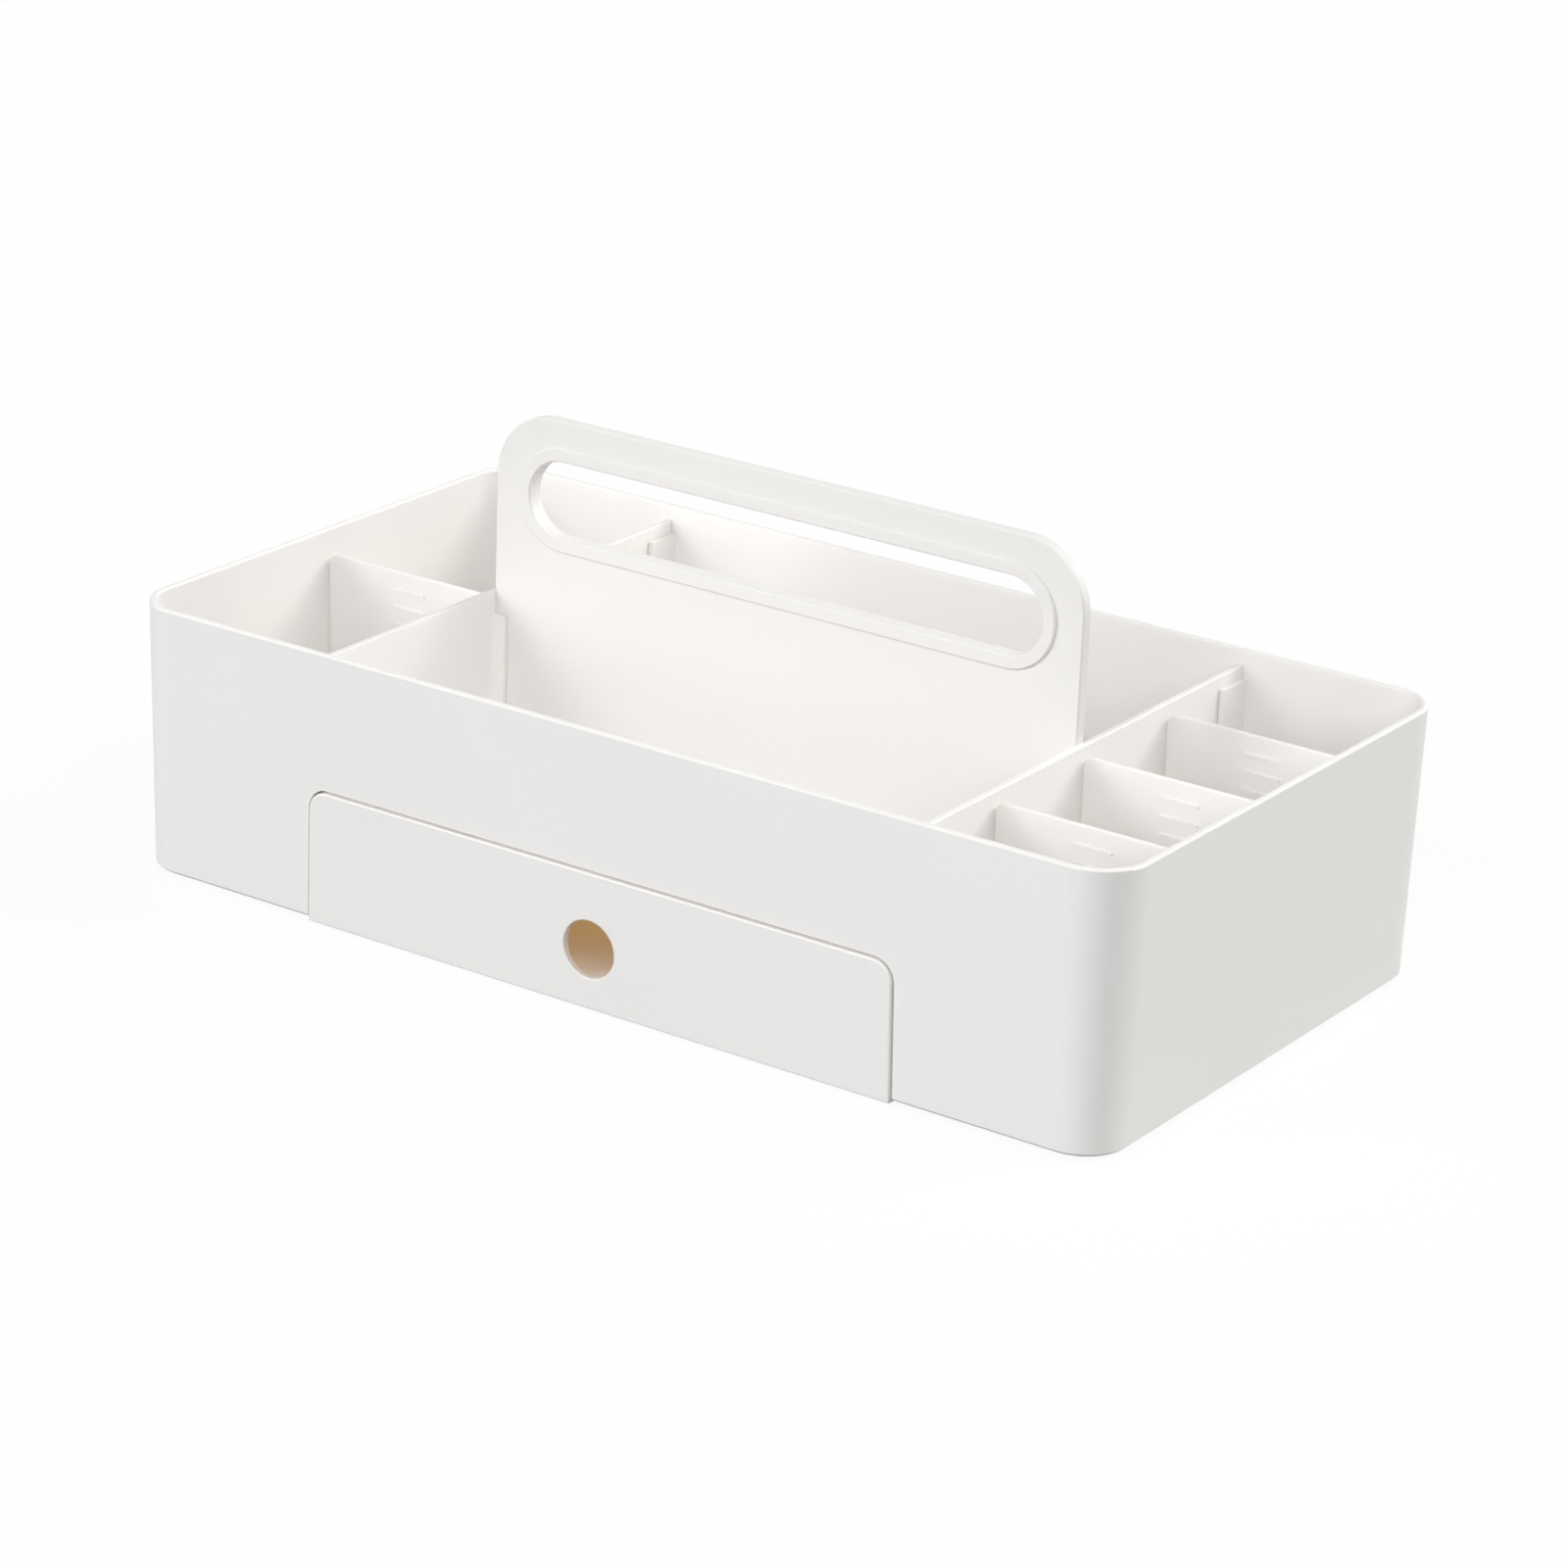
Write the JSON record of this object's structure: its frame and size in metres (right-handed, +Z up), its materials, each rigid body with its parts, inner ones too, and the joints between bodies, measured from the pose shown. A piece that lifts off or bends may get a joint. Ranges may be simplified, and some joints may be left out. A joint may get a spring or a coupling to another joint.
{
  "type": "storage caddy",
  "caption": "Portable desk caddy: an open rectangular tub with a carrying handle plate, side compartments with lift-out dividers and a shallow front drawer.",
  "frame": {"origin": "centre of the footprint, on the surface that the foot pads stand on", "axes": "+X along the long side to the right of someone facing the drawer, +Y towards the back, +Z up"},
  "size_m": [0.35, 0.1864, 0.1412],
  "materials": {
    "caddy_plastic": "fine satin moulded polypropylene, warm white",
    "pad_rubber": "soft translucent grey pad"
  },
  "bodies": {
    "caddy": {"tub": "caddy_plastic", "centre_frame": "caddy_plastic", "handle_plate": "caddy_plastic", "foot_pads": "pad_rubber"},
    "drawer_body": {"drawer": "caddy_plastic"},
    "left_divider_body": {"left_divider": "caddy_plastic"},
    "front_divider_body": {"front_divider": "caddy_plastic"},
    "middle_divider_body": {"middle_divider": "caddy_plastic"},
    "rear_divider_body": {"rear_divider": "caddy_plastic"}
  },
  "joints": [
    {"name": "drawer_slide", "type": "slide", "parent": "caddy", "child": "drawer_body", "axis": [0, -1, 0], "range_m": [0, 0.123]},
    {"name": "left_divider_lift", "type": "slide", "parent": "caddy", "child": "left_divider_body", "axis": [0, 0, 1], "range_m": [0, 0.085]},
    {"name": "front_divider_lift", "type": "slide", "parent": "caddy", "child": "front_divider_body", "axis": [0, 0, 1], "range_m": [0, 0.085]},
    {"name": "middle_divider_lift", "type": "slide", "parent": "caddy", "child": "middle_divider_body", "axis": [0, 0, 1], "range_m": [0, 0.085]},
    {"name": "rear_divider_lift", "type": "slide", "parent": "caddy", "child": "rear_divider_body", "axis": [0, 0, 1], "range_m": [0, 0.085]}
  ]
}
